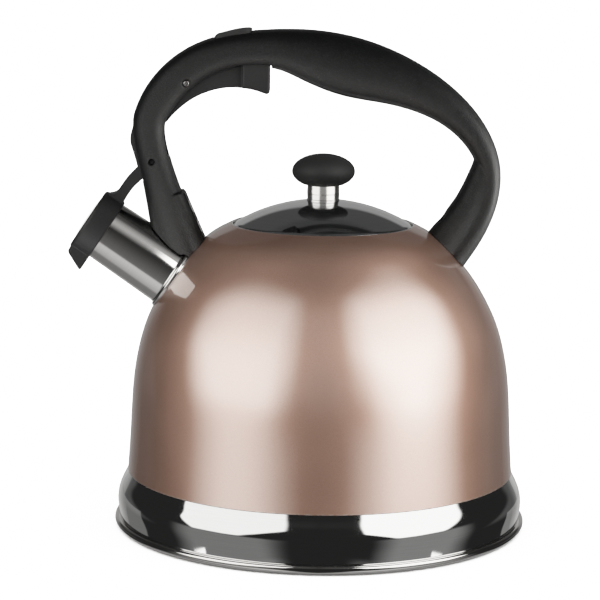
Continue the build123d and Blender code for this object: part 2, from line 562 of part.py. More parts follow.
with BuildPart() as handle:
    for st in STATIONS:
        pl, pts = section(*st)
        with BuildSketch(pl):
            with BuildLine():
                Spline(*pts[:11], tangents=[(0, 1), (0, -1)])
                Spline(*(pts[10:] + pts[:1]), tangents=[(0, -1), (0, 1)])
            make_face()
    loft()
    for st in WEB:
        pl, pts = section(*st)
        with BuildSketch(pl):
            with BuildLine():
                Spline(*pts[:11], tangents=[(0, 1), (0, -1)])
                Spline(*(pts[10:] + pts[:1]), tangents=[(0, -1), (0, 1)])
            make_face()
    loft()
    for u in (-0.6, 14.0, 28.0, 42.0):
        pl, pts = section(*strap(u, RIB_DEEP), *strap(u, 0.0), RIB_HALF + 0.012 * u, 3.2)
        with BuildSketch(pl):
            with BuildLine():
                Spline(*pts[:11], tangents=[(0, 1), (0, -1)])
                Spline(*(pts[10:] + pts[:1]), tangents=[(0, -1), (0, 1)])
            make_face()
    loft()
    add(dome_tool.part, mode=Mode.SUBTRACT)
    add(spout_tool.part, mode=Mode.SUBTRACT)
    # channel for both levers, open below the grip and at the front of the leg
    with BuildSketch(Plane.XZ):
        with BuildLine():
            Polyline((-106.0, 172.0), (-97.4, 181.2), (-94.6, 184.0), (-91.6, 187.6), (-90.2, 188.5),
                     (-87.0, 189.0), (-84.6, 191.2), (-83.6, 194.0), (-83.6, 196.6), (-74.0, 196.6),
                     (-66.0, 208.0), (-45.0, 222.0), (-27.9, 226.0), (-27.9, 259.2), (-34.0, 259.2),
                     (-46.0, 257.8), (-58.0, 255.2), (-70.0, 250.2), (-80.5, 243.0), (-89.2, 233.6),
                     (-94.8, 224.8), (-97.4, 217.5), (-98.1, 214.9), (-106.0, 214.2), close=True)
        make_face()
    extrude(amount=SLOT_HALF, both=True, mode=Mode.SUBTRACT)
    # wider pocket for the finger block
    with BuildSketch(Plane.XZ):
        with BuildLine():
            Polyline((-46.8, 225.0), (-27.9, 225.0), (-27.9, 257.0), (-46.8, 256.2), close=True)
        make_face()
    extrude(amount=POCKET_HALF, both=True, mode=Mode.SUBTRACT)
    # bores of the two pins
    for pin, rec_r, rec_y in ((PIN_A, 2.3, 10.4), (PIN_B, 1.7, 9.6)):
        with Locations(Plane(origin=(pin[0], 0, pin[1]), x_dir=(1, 0, 0), z_dir=(0, -1, 0))):
            Cylinder(PIN_R, 40, mode=Mode.SUBTRACT)
        for sgn in (-1, 1):
            with Locations(Plane(origin=(pin[0], sgn * (rec_y + 5), pin[1]), x_dir=(1, 0, 0),
                                 z_dir=(0, -1, 0))):
                Cylinder(rec_r, 10, mode=Mode.SUBTRACT)
    # seat of the front bracket and its screws
    with BuildSketch(Plane.XZ):
        with BuildLine():
            Polyline(strap(-0.6, -8), strap(60, -8), strap(60, STRAP_T), strap(-0.6, STRAP_T), close=True)
        make_face()
    extrude(amount=STRAP_HALF, both=True, mode=Mode.SUBTRACT)
    add(front_bracket_screws.part, mode=Mode.SUBTRACT)
    # socket of the rear bracket and its screw
    with BuildSketch(Plane.XZ):
        with BuildLine():
            Polyline(rear(-6, -TONGUE_T / 2), rear(-6, TONGUE_T / 2), rear(TONGUE_UP + 0.6, TONGUE_T / 2),
                     rear(TONGUE_UP + 0.6, -TONGUE_T / 2), close=True)
        make_face()
        with BuildLine():
            Polyline(rear(-8, -6.6), rear(-8, 6.6), rear(2.3, 6.6), rear(2.3, -6.6), close=True)
        make_face()
    extrude(amount=TONGUE_HALF, both=True, mode=Mode.SUBTRACT)
    pe = rear(REAR_SCREW_UP, 0)
    ax = Plane(origin=(pe[0], 0, pe[1]), x_dir=(0, 1, 0), z_dir=(REAR_E[0], 0, REAR_E[1]))
    with Locations(ax.offset(-1.6)):
        Cylinder(2.0, 14, mode=Mode.SUBTRACT)
    with Locations(ax.offset(HEAD_E + 2.4 - 10)):
        Cylinder(3.9, 20, mode=Mode.SUBTRACT)
handle_body = handle

PAD_TOP = [(-58.3, 258.6), (-57.6, 260.1), (-54.4, 261.5), (-50.2, 262.6), (-46.0, 263.6), (-41.8, 264.2),
           (-39.5, 264.3)]
with BuildPart() as thumb_pad:
    with BuildSketch(Plane.XZ):
        with BuildLine():
            Spline(*PAD_TOP)
            ThreePointArc((-39.5, 264.3), (-38.5, 264.0), (-38.2, 263.0))
            Polyline((-38.2, 263.0), (-38.2, 261.6), (-46.0, 260.4), (-54.0, 258.6), (-58.3, 257.3),
                     (-58.3, 258.6))
        make_face()
    extrude(amount=7.6, both=True)
    with BuildSketch(Plane.XY.offset(250)):
        with Locations((-48.25, 0)):
            RectangleRounded(20.1, 15.2, 4.0)
    extrude(amount=20, mode=Mode.INTERSECT)
thumb_pad.part.label = "thumb_pad"
export_step(thumb_pad.part, "parts/thumb_pad.step")

with BuildPart() as handle:
    add(handle_body.part)
    add(thumb_pad.part, mode=Mode.SUBTRACT)
handle.part.label = "handle"
export_step(handle.part, "parts/handle.step")

# ------------------------------------------------------------------ pins and spring
with BuildPart() as trigger_pin:
    with Locations(Plane(origin=(PIN_A[0], 0, PIN_A[1]), x_dir=(1, 0, 0), z_dir=(0, -1, 0))):
        Cylinder(PIN_R, 22.0)
    fillet(trigger_pin.edges().filter_by(GeomType.CIRCLE), 0.4)
trigger_pin.part.label = "trigger_pin"
export_step(trigger_pin.part, "parts/trigger_pin.step")

with BuildPart() as cap_pin:
    with Locations(Plane(origin=(PIN_B[0], 0, PIN_B[1]), x_dir=(1, 0, 0), z_dir=(0, -1, 0))):
        Cylinder(PIN_R, 18.4)
    fillet(cap_pin.edges().filter_by(GeomType.CIRCLE), 0.4)
cap_pin.part.label = "cap_pin"
export_step(cap_pin.part, "parts/cap_pin.step")

SPRING_X, SPRING_Z0, SPRING_Z1, SPRING_R, WIRE_R = -52.0, 246.4, 255.6, 2.75, 0.4
with BuildPart() as return_spring:
    with BuildLine(Plane(origin=(SPRING_X, 0, SPRING_Z0))):
        coil = Helix(pitch=1.84, height=SPRING_Z1 - SPRING_Z0, radius=SPRING_R)
    with BuildSketch(Plane(origin=coil @ 0, z_dir=coil % 0)):
        Circle(WIRE_R)
    sweep(path=coil, is_frenet=True)
return_spring.part.label = "return_spring"
export_step(return_spring.part, "parts/return_spring.step")

# ------------------------------------------------------------------ lid and knob
R_OUT, R_IN = LID_SPHERE, LID_SPHERE - LID_T
with BuildPart() as lid_shell:
    zi = sphere_z(LID_R - LID_T, LID_TOP - LID_T, R_IN)
    with BuildSketch(Plane.XZ):
        with BuildLine():
            ThreePointArc((2.6, sphere_z(2.6, LID_TOP, R_OUT)), (26, sphere_z(26, LID_TOP, R_OUT)),
                          (LID_R - 1.2, sphere_z(LID_R - 1.2, LID_TOP, R_OUT)))
            ThreePointArc((LID_R - 1.2, sphere_z(LID_R - 1.2, LID_TOP, R_OUT)), (LID_R - 0.28, 160.75),
                          (LID_R, 159.9))
            Polyline((LID_R, 159.9), (LID_R, LID_EDGE_Z), (LID_R - LID_T, LID_EDGE_Z), (LID_R - LID_T, zi))
            ThreePointArc((LID_R - LID_T, zi), (26, sphere_z(26, LID_TOP - LID_T, R_IN)),
                          (2.6, sphere_z(2.6, LID_TOP - LID_T, R_IN)))
            Line((2.6, sphere_z(2.6, LID_TOP - LID_T, R_IN)), (2.6, sphere_z(2.6, LID_TOP, R_OUT)))
        make_face()
    revolve(axis=Axis.Z)
lid_shell.part.label = "lid_shell"
export_step(lid_shell.part, "parts/lid_shell.step")

with BuildPart() as lid_skirt:
    with BuildSketch(Plane.XZ):
        with BuildLine():
            Polyline((SKIRT_R - 0.8, SKIRT_Z), (SKIRT_R, SKIRT_Z),
                     (SKIRT_R, sphere_z(SKIRT_R, LID_TOP - LID_T, R_IN)),
                     (SKIRT_R - 0.8, sphere_z(SKIRT_R - 0.8, LID_TOP - LID_T, R_IN)), close=True)
        make_face()
    revolve(axis=Axis.Z)
lid_skirt.part.label = "lid_skirt"
export_step(lid_skirt.part, "parts/lid_skirt.step")

with BuildPart() as knob_sleeve:
    with BuildSketch(Plane.XZ):
        with BuildLine():
            Polyline((BOSS_R, sphere_z(BOSS_R, LID_TOP, R_OUT)), (SLEEVE_R + 0.4, sphere_z(SLEEVE_R + 0.4, LID_TOP, R_OUT)),
                     (SLEEVE_R + 0.4, LID_TOP + 0.3), (SLEEVE_R, LID_TOP + 0.7), (SLEEVE_R, KNOB_LOW), (BOSS_R, KNOB_LOW),
                     close=True)
        make_face()
    revolve(axis=Axis.Z)
knob_sleeve.part.label = "knob_sleeve"
export_step(knob_sleeve.part, "parts/knob_sleeve.step")

with BuildPart() as knob:
    up = [(KNOB_R * math.sin(math.radians(a)), KNOB_MID + (KNOB_TOP - KNOB_MID) * math.cos(math.radians(a)))
          for a in range(0, 91, 15)]
    low = [(KNOB_R * math.cos(math.radians(a)), KNOB_MID - KNOB_DEEP * math.sin(math.radians(a)))
           for a in (15, 30, 42, 50)]
    with BuildSketch(Plane.XZ):
        with BuildLine():
            Spline(*(up + low), tangents=[(1, 0), (-0.913, -0.408)])
            Polyline(low[-1], (BOSS_R + 0.001 + SLEEVE_T, KNOB_LOW), (BOSS_R, KNOB_LOW),
                     (BOSS_R, LID_TOP + 0.3), (KSCREW_R, LID_TOP + 0.3), (KSCREW_R, 191.0), (0, 191.0), (0, KNOB_TOP))
        make_face()
    revolve(axis=Axis.Z)
knob.part.label = "knob"
export_step(knob.part, "parts/knob.step")

WASHER_TOP = sphere_z(7.0, LID_TOP - LID_T, R_IN)
with BuildPart() as knob_washer:
    with BuildSketch(Plane.XY.offset(WASHER_TOP - 1.2)):
        Circle(7.0)
        Circle(KSCREW_R + 0.1, mode=Mode.SUBTRACT)
    extrude(amount=1.2)
knob_washer.part.label = "knob_washer"
export_step(knob_washer.part, "parts/knob_washer.step")

with BuildPart() as knob_screw:
    with BuildSketch(Plane.XY.offset(WASHER_TOP - 1.2)):
        Circle(KSCREW_R)
    extrude(amount=190.0 - (WASHER_TOP - 1.2))
    with BuildSketch(Plane.XY.offset(WASHER_TOP - 1.2)):
        Circle(4.4)
    extrude(amount=-3.0)
    fillet(knob_screw.faces().sort_by(Axis.Z)[0].edges(), 0.8)
    with BuildSketch(Plane.XY.offset(WASHER_TOP - 4.2)):
        Rectangle(4.4, 0.9)
        Rectangle(0.9, 4.4)
    extrude(amount=1.3, mode=Mode.SUBTRACT)
knob_screw.part.label = "knob_screw"
export_step(knob_screw.part, "parts/knob_screw.step")
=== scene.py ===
import math

import bmesh
import bpy
import numpy as np
from mathutils import Matrix, Vector


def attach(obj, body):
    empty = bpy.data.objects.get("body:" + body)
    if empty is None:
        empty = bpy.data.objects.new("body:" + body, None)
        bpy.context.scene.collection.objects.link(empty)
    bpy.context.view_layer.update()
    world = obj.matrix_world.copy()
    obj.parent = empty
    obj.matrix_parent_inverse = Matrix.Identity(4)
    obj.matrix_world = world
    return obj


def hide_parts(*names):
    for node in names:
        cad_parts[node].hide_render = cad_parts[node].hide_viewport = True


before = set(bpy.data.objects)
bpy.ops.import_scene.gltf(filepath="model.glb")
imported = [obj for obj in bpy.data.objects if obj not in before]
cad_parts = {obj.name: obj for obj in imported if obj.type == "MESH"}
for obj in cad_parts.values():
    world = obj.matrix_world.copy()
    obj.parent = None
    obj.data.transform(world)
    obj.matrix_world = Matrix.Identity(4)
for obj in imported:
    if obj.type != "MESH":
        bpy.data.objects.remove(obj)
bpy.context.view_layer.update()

MM = 0.001
scene = bpy.context.scene

# ------------------------------------------------------------------ numbers of the model (mm)
SEAM_Z = 29.2
BODY_OUTER = [(103.0, SEAM_Z), (102.55, 36.0), (101.7, 50.0), (100.95, 65.0), (99.8, 80.0), (97.3, 95.0),
              (92.9, 110.0), (87.2, 122.0), (79.75, 134.0), (69.7, 146.0), (59.0, 156.0)]
NECK_R, NECK_Z = 48.3, 161.75
BAND_OUTER = [(103.0, SEAM_Z), (104.5, 26.0), (107.1, 20.4), (108.3, 14.2), (107.9, 8.5), (107.4, 4.8)]
LID_R, LID_RIM_Z, LID_TOP, LID_T, LID_EDGE_Z = 47.3, 161.1, 174.4, 0.9, 158.7
LID_SPHERE = (LID_R ** 2 + (LID_TOP - LID_RIM_Z) ** 2) / (2 * (LID_TOP - LID_RIM_Z))
SP_C, SP_S = math.cos(math.radians(33.8)), math.sin(math.radians(33.8))
SP_N = 66.1


def spout_r(t):
    return 17.55 + (16.25 - 17.55) * (t - 130.0) / 56.4


def lid_z(r, inner=False):
    top, rad = (LID_TOP - LID_T, LID_SPHERE - LID_T) if inner else (LID_TOP, LID_SPHERE)
    return top - rad + math.sqrt(rad * rad - r * r)


# ------------------------------------------------------------------ mesh helpers
def natural(pts, per):
    """Smooth curve through the points, with per samples for each span."""
    p = np.array(pts, float)
    h = np.hypot(*np.diff(p, axis=0).T)
    t = np.concatenate([[0], np.cumsum(h)])
    n = len(p)
    a, b = np.zeros((n, n)), np.zeros((n, 2))
    a[0, 0] = a[-1, -1] = 1
    for i in range(1, n - 1):
        a[i, i - 1], a[i, i], a[i, i + 1] = h[i - 1], 2 * (h[i - 1] + h[i]), h[i]
        b[i] = 6 * ((p[i + 1] - p[i]) / h[i] - (p[i] - p[i - 1]) / h[i - 1])
    m = np.linalg.solve(a, b)
    out = []
    for i in range(n - 1):
        for k in range(per):
            s = t[i] + h[i] * k / per
            u, v = t[i + 1] - s, s - t[i]
            q = (m[i] * u ** 3 + m[i + 1] * v ** 3) / (6 * h[i])
            q = q + (p[i] / h[i] - m[i] * h[i] / 6) * u + (p[i + 1] / h[i] - m[i + 1] * h[i] / 6) * v
            out.append((float(q[0]), float(q[1])))
    out.append(tuple(map(float, p[-1])))
    return out


def inward(pts, d):
    """Curve offset towards the vessel axis and down."""
    p = np.array(pts, float)
    g = np.gradient(p, axis=0)
    m = np.hypot(g[:, 0], g[:, 1])
    return [(float(x - d * abs(gz) / k), float(z - d * abs(gx) / k)) for (x, z), (gx, gz), k in zip(p, g, m)]


def arc(cx, cz, rx, rz, a0, a1, n):
    """Points on an ellipse, angles in degrees from +r towards +z."""
    return [(cx + rx * math.cos(math.radians(a0 + (a1 - a0) * k / n)),
             cz + rz * math.sin(math.radians(a0 + (a1 - a0) * k / n))) for k in range(n + 1)]


def rounded(poly, rad, steps=4):
    """Closed polygon with every corner rounded by up to rad."""
    out = []
    n = len(poly)
    for i in range(n):
        p, a, b = (Vector(poly[j % n]) for j in (i, i - 1, i + 1))
        da, db = a - p, b - p
        la, lb = da.length, db.length
        da, db = da / la, db / lb
        ang = da.angle(db)
        cut = min(rad / math.tan(ang / 2), 0.45 * la, 0.45 * lb)
        if ang > math.radians(172) or cut < 1e-4 or p[0] < 1e-6:
            out.append(tuple(p))
            continue
        r = cut * math.tan(ang / 2)
        c = p + (da + db).normalized() * (r / math.sin(ang / 2))
        s, e = p + da * cut - c, p + db * cut - c
        for k in range(steps + 1):
            f = k / steps
            v = (s * math.sin((1 - f) * (math.pi - ang)) + e * math.sin(f * (math.pi - ang))) / math.sin(math.pi - ang)
            out.append(tuple(c + v))
    return out


def upright(r, z, f):
    return (r * math.cos(f) * MM, r * math.sin(f) * MM, z * MM)


def on_spout(r, t, f):
    k = SP_N + r * math.cos(f)
    return ((-SP_C * t + SP_S * k) * MM, r * math.sin(f) * MM, (SP_S * t + SP_C * k) * MM)


def mesh_object(name, verts, faces, sharp=38):
    me = bpy.data.meshes.new(name)
    me.from_pydata(verts, [], faces)
    bm = bmesh.new()
    bm.from_mesh(me)
    bmesh.ops.recalc_face_normals(bm, faces=bm.faces)
    bm.to_mesh(me)
    bm.free()
    me.shade_smooth()
    me.set_sharp_from_angle(angle=math.radians(sharp))
    ob = bpy.data.objects.new(name, me)
    scene.collection.objects.link(ob)
    return ob


def lathe(name, prof, seg=320, place=upright, sharp=38):
    """Closed profile of (radius, height) turned about an axis. prof may also be a function of the angle."""
    if callable(prof):
        table = [prof(2 * math.pi * k / seg) for k in range(seg)]
    else:
        table = [prof] * seg
    n = len(table[0])
    verts, rows = [], []
    for i in range(n):
        if max(table[k][i][0] for k in (0, seg // 2)) < 1e-6:
            rows.append([len(verts)] * seg)
            verts.append(place(0.0, table[0][i][1], 0.0))
        else:
            rows.append(list(range(len(verts), len(verts) + seg)))
            verts += [place(table[k][i][0], table[k][i][1], 2 * math.pi * k / seg) for k in range(seg)]
    faces = []
    for i in range(n):
        a, b = rows[i], rows[(i + 1) % n]
        if a[0] == a[1] and b[0] == b[1]:
            continue
        for k in range(seg):
            q = []
            for v in (a[k], a[(k + 1) % seg], b[(k + 1) % seg], b[k]):
                if v not in q:
                    q.append(v)
            faces.append(q)
    return mesh_object(name, verts, faces, sharp)


def baked(ob):
    """The object's mesh with its modifiers in it."""
    dg = bpy.context.evaluated_depsgraph_get()
    me = bpy.data.meshes.new_from_object(ob.evaluated_get(dg))
    ob.modifiers.clear()
    old = ob.data
    ob.data = me
    me.name = ob.name
    bpy.data.meshes.remove(old)
    return ob


def moulded(name, node, voxel, turns, blend=None, blend_turns=40):
    """Mesh on a node's own shape with the edges of a moulded part: evenly re-meshed and relaxed.
    blend gives the weight of a further relaxing for each point (mm)."""
    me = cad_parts[node].data.copy()
    bm = bmesh.new()
    bm.from_mesh(me)
    bmesh.ops.remove_doubles(bm, verts=bm.verts, dist=2e-6)
    bm.to_mesh(me)
    bm.free()
    ob = bpy.data.objects.new(name, me)
    scene.collection.objects.link(ob)
    m = ob.modifiers.new("even", "REMESH")
    m.mode, m.voxel_size, m.adaptivity, m.use_smooth_shade = "VOXEL", voxel * MM, 0.0, True
    m = ob.modifiers.new("relax", "SMOOTH")
    m.factor, m.iterations = 0.5, turns
    baked(ob)
    if blend:
        co = np.empty(len(ob.data.vertices) * 3)
        ob.data.vertices.foreach_get("co", co)
        weight = np.round(blend(co.reshape(-1, 3) / MM), 2)
        group = ob.vertex_groups.new(name="blend")
        for v in np.unique(weight[weight > 0]):
            group.add(np.flatnonzero(weight == v).tolist(), float(v), "REPLACE")
        m = ob.modifiers.new("blend", "SMOOTH")
        m.factor, m.iterations, m.vertex_group = 0.5, blend_turns, "blend"
        baked(ob)
    ob.data.materials.clear()
    ob.data.shade_smooth()
    return ob


def step(v, a, b):
    t = np.clip((v - a) / (b - a), 0.0, 1.0)
    return t * t * (3 - 2 * t)


# ------------------------------------------------------------------ material helpers
def node(nt, kind, ins=None, **props):
    nd = nt.nodes.new(kind)
    for k, v in props.items():
        setattr(nd, k, v)
    for k, v in (ins or {}).items():
        if isinstance(v, bpy.types.NodeSocket):
            nt.links.new(v, nd.inputs[k])
        else:
            nd.inputs[k].default_value = v
    return nd


class Look:
    """A material being wired: one Principled shader fed by procedural textures in object space (metres)."""

    def __init__(self, name, **consts):
        self.mat = bpy.data.materials.new(name)
        self.mat.use_nodes = True
        self.nt = self.mat.node_tree
        self.nt.nodes.clear()
        out = node(self.nt, "ShaderNodeOutputMaterial")
        self.b = node(self.nt, "ShaderNodeBsdfPrincipled")
        self.nt.links.new(self.b.outputs[0], out.inputs[0])
        self.pos = node(self.nt, "ShaderNodeTexCoord").outputs["Object"]
        for k, v in consts.items():
            self.b.inputs[k.replace("_", " ")].default_value = v

    def feed(self, socket, value):
        self.nt.links.new(value, self.b.inputs[socket])

    def stretch(self, x, y, z):
        return node(self.nt, "ShaderNodeVectorMath", {0: self.pos, 1: (x, y, z)}, operation="MULTIPLY").outputs[0]

    def noise(self, scale, detail=2.0, rough=0.5, vec=None, distort=0.0):
        return node(self.nt, "ShaderNodeTexNoise", {"Vector": vec or self.pos, "Scale": scale, "Detail": detail,
                                                    "Roughness": rough, "Distortion": distort}).outputs[0]

    def cells(self, scale, out="Distance", vec=None):
        return node(self.nt, "ShaderNodeTexVoronoi", {"Vector": vec or self.pos, "Scale": scale}).outputs[out]

    def math(self, op, a, b=0.0, c=0.0):
        return node(self.nt, "ShaderNodeMath", {0: a, 1: b, 2: c}, operation=op).outputs[0]

    def span(self, v, a, b, lo=0.0, hi=1.0, kind="LINEAR"):
        return node(self.nt, "ShaderNodeMapRange", {"Value": v, "From Min": a, "From Max": b, "To Min": lo, "To Max": hi},
                    interpolation_type=kind, clamp=True).outputs[0]

    def mix(self, f, a, b):
        nd = nt_mix = self.nt.nodes.new("ShaderNodeMix")
        nt_mix.data_type = "RGBA"
        for i, v in ((0, f), (6, a), (7, b)):
            if isinstance(v, bpy.types.NodeSocket):
                self.nt.links.new(v, nd.inputs[i])
            else:
                nd.inputs[i].default_value = v
        return nd.outputs[2]

    def bump(self, height, distance, strength=1.0, normal=None):
        ins = {"Height": height, "Distance": distance, "Strength": strength}
        if normal is not None:
            ins["Normal"] = normal
        return node(self.nt, "ShaderNodeBump", ins).outputs[0]

    def xyz(self):
        o = node(self.nt, "ShaderNodeSeparateXYZ", {0: self.pos}).outputs
        return o[0], o[1], o[2]

    def radius(self):
        x, y, _ = self.xyz()
        return self.math("SQRT", self.math("ADD", self.math("MULTIPLY", x, x), self.math("MULTIPLY", y, y)))

    def along_spout(self):
        return node(self.nt, "ShaderNodeVectorMath", {0: self.pos, 1: (-SP_C, 0.0, SP_S)},
                    operation="DOT_PRODUCT").outputs["Value"]

    def edges(self, lo, hi):
        """Mask of convex edges, broken up by noise."""
        p = node(self.nt, "ShaderNodeNewGeometry").outputs["Pointiness"]
        m = self.span(p, lo, hi)
        return self.math("MULTIPLY", m, self.span(self.noise(220.0, 3.0), 0.35, 0.65))


def rgb(r, g, b):
    return (r, g, b, 1.0)


# ------------------------------------------------------------------ materials
def make_paint():
    k = Look("rose_paint_look", Metallic=0.93, Coat_Weight=1.0, Coat_Roughness=0.03, Coat_IOR=2.4)
    _, _, z = k.xyz()
    flake = node(k.nt, "ShaderNodeSeparateColor", {0: k.cells(3600.0, "Color")}).outputs[0]
    cloud = k.noise(26.0, 3.0)
    tone = k.mix(k.span(cloud, 0.3, 0.7), rgb(0.330, 0.188, 0.136), rgb(0.358, 0.207, 0.152))
    tone = k.mix(k.span(flake, 0.0, 1.0, 0.0, 0.22), tone, rgb(0.490, 0.330, 0.265))
    # paint thins to a paler line at the lower edge and at the lid opening
    low = k.span(z, 0.0300, 0.0293)
    neck = k.span(k.radius(), 0.0490, 0.0484)
    worn = k.math("MULTIPLY", k.math("MAXIMUM", low, neck), k.span(k.noise(420.0, 4.0), 0.40, 0.62, 0.15, 0.75))
    k.feed("Base Color", k.mix(worn, tone, rgb(0.70, 0.62, 0.57)))
    k.feed("Roughness", k.span(k.math("ADD", cloud, k.math("MULTIPLY", k.noise(900.0, 2.0), 0.3)), 0.4, 0.9, 0.45, 0.51))
    k.feed("Normal", k.bump(k.cells(3600.0), 0.000012, 0.35))
    k.feed("Coat Normal", k.bump(k.noise(330.0, 2.0), 0.000010, 0.5))
    return k.mat


def make_polish(name, brush="rings", tint=(0.74, 0.73, 0.715), rough=(0.045, 0.10), wave=0.00006):
    k = Look(name, Metallic=1.0)
    _, _, z = k.xyz()
    if brush == "spout":
        line = k.math("MULTIPLY", k.along_spout(), 1.0)
        vec = node(k.nt, "ShaderNodeCombineXYZ", {0: k.math("MULTIPLY", line, 3600.0), 1: 0.0, 2: 0.0}).outputs[0]
        vec = node(k.nt, "ShaderNodeVectorMath", {0: vec, 1: k.stretch(40.0, 40.0, 40.0)}, operation="ADD").outputs[0]
    else:
        vec = k.stretch(45.0, 45.0, 3200.0)
    streak = k.noise(1.0, 3.0, 0.6, vec)
    smudge = k.noise(38.0, 4.0, 0.6)
    k.feed("Base Color", k.mix(k.span(streak, 0.3, 0.7), rgb(*[c * 0.93 for c in tint]), rgb(*tint)))
    k.feed("Roughness", k.span(k.math("ADD", smudge, k.math("MULTIPLY", streak, 0.45)), 0.5, 1.0, *rough))
    n = k.bump(k.noise(46.0, 1.0, 0.4), wave, 0.8)
    k.feed("Normal", k.bump(streak, 0.0000016, 0.7, n))
    return k.mat


def make_satin(name, tint=(0.60, 0.59, 0.575), rings=True, rough=(0.24, 0.36)):
    k = Look(name, Metallic=1.0)
    if rings:
        x, y, z = k.xyz()
        rr = k.math("ADD", k.math("MULTIPLY", k.radius(), 2600.0), k.math("MULTIPLY", z, 2600.0))
        vec = node(k.nt, "ShaderNodeCombineXYZ", {0: rr, 1: k.math("MULTIPLY", x, 30.0), 2: k.math("MULTIPLY", y, 30.0)}).outputs[0]
    else:
        vec = k.stretch(400.0, 400.0, 2400.0)
    line = k.noise(1.0, 3.0, 0.6, vec)
    stain = k.noise(34.0, 4.0)
    k.feed("Base Color", k.mix(k.span(line, 0.3, 0.7), rgb(*[c * 0.86 for c in tint]), rgb(*tint)))
    k.feed("Roughness", k.span(k.math("ADD", stain, k.math("MULTIPLY", line, 0.5)), 0.5, 1.0, *rough))
    k.feed("Normal", k.bump(line, 0.000006, 0.6))
    return k.mat


def make_black(name, tone, grain, depth, rough, worn, edge=(0.53, 0.62), level=0.5, speck=(0.5, 2.1)):
    k = Look(name, Specular_IOR_Level=level)
    fine = k.noise(grain, 2.0, 0.6)
    cloud = k.noise(45.0, 3.0)
    c = k.mix(k.span(cloud, 0.3, 0.7), rgb(*[v * 0.82 for v in tone]), rgb(*[v * 1.15 for v in tone]))
    c = k.mix(k.span(fine, 0.52, 0.72, 0.0, speck[0]), c, rgb(*[v * speck[1] for v in tone]))
    wear = k.edges(*edge)
    k.feed("Base Color", k.mix(wear, c, rgb(*worn)))
    k.feed("Roughness", k.span(k.math("ADD", cloud, k.math("MULTIPLY", fine, 0.6)), 0.5, 1.1, *rough))
    n = k.bump(fine, depth, 0.7)
    k.feed("Normal", k.bump(cloud, 0.00005, 0.25, n))
    return k.mat


def make_silicone():
    k = Look("silicone_look", Specular_IOR_Level=0.4)
    c = k.mix(k.span(k.noise(160.0, 3.0), 0.35, 0.65), rgb(0.06, 0.06, 0.06), rgb(0.095, 0.094, 0.092))
    k.feed("Base Color", c)
    k.feed("Roughness", k.span(k.noise(700.0, 2.0), 0.3, 0.7, 0.5, 0.68))
    k.feed("Normal", k.bump(k.noise(1500.0, 2.0), 0.00002, 0.5))
    return k.mat


PAINT = make_paint()
POLISH = make_polish("polished_steel_look")
POLISH_BAND = make_polish("polished_band_look", tint=(0.725, 0.73, 0.73), rough=(0.025, 0.07), wave=0.0002)
POLISH_LID = make_polish("polished_lid_look", tint=(0.715, 0.73, 0.735), rough=(0.03, 0.075), wave=0.00002)
POLISH_SPOUT = make_polish("polished_spout_look", "spout", rough=(0.07, 0.14), wave=0.00003)
POLISH_SMALL = make_polish("polished_stem_look", tint=(0.80, 0.79, 0.775), rough=(0.17, 0.24), wave=0.0)
SATIN = make_satin("satin_steel_look")
SATIN_IN = make_satin("satin_inside_look", tint=(0.56, 0.55, 0.535), rough=(0.28, 0.42))
ALUMINIUM = make_satin("aluminium_look", tint=(0.72, 0.72, 0.73), rough=(0.35, 0.48))
WIRE = make_satin("spring_wire_look", tint=(0.45, 0.45, 0.46), rings=False)
FITTING = make_satin("fitting_look", tint=(0.66, 0.65, 0.64), rings=False, rough=(0.18, 0.30))
HANDLE = make_black("black_handle_look", (0.0058, 0.0064, 0.0065), 1600.0, 0.00040, (0.42, 0.54), (0.030, 0.031, 0.031), level=0.46,
                    speck=(0.8, 3.6))
LEVER = make_black("black_lever_look", (0.0130, 0.0131, 0.0134), 2100.0, 0.00004, (0.44, 0.58), (0.04, 0.04, 0.04), level=0.34)
CAP = make_black("black_cap_look", (0.0115, 0.0115, 0.0120), 2400.0, 0.00004, (0.44, 0.58), (0.04, 0.04, 0.04), level=0.32)
KNOB = make_black("black_knob_look", (0.0105, 0.0105, 0.0106), 2200.0, 0.00004, (0.60, 0.74), (0.03, 0.03, 0.03), level=0.36)
PAD = make_black("black_pad_look", (0.0150, 0.0150, 0.0150), 1500.0, 0.00007, (0.52, 0.68), (0.04, 0.04, 0.04), level=0.32)
COAT = make_black("black_coat_look", (0.0105, 0.0105, 0.0107), 1700.0, 0.00005, (0.50, 0.62), (0.035, 0.035, 0.035), level=0.30)
SILICONE = make_silicone()


def finish_piece(ob, mats, body, slot, *nodes):
    for m in mats:
        ob.data.materials.append(m)
    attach(ob, body)
    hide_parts(*nodes)
    return ob


# ------------------------------------------------------------------ vessel
outer = natural(BODY_OUTER + [(NECK_R, NECK_Z)], 12)
DOME_Z = np.array([p[1] for p in outer])
DOME_R = np.array([p[0] for p in outer])
skin = [p for p in outer if p[1] > SEAM_Z + 0.45]
inner = [p for p in inward(natural(BODY_OUTER, 6), 1.0) if p[1] > SEAM_Z + 0.3]
prof = [(102.0, SEAM_Z), (102.62, SEAM_Z)] + arc(102.62, SEAM_Z + 0.36, 0.36, 0.36, -80, -6, 5) + skin[:-1]
prof += [(NECK_R + 0.35, NECK_Z - 0.18)] + arc(NECK_R + 0.30, NECK_Z - 0.48, 0.30, 0.30, 90, 180, 4)
prof += [(NECK_R, NECK_Z - 1.14)] + inner[::-1]
body = lathe("body_shell_skin", prof, 360)
n_out = len(prof) - len(inner) - 1
body.data.materials.append(PAINT)
body.data.materials.append(SATIN_IN)
idx = np.zeros(len(body.data.polygons), np.int32)
idx[n_out * 360:] = 1
body.data.polygons.foreach_set("material_index", idx)

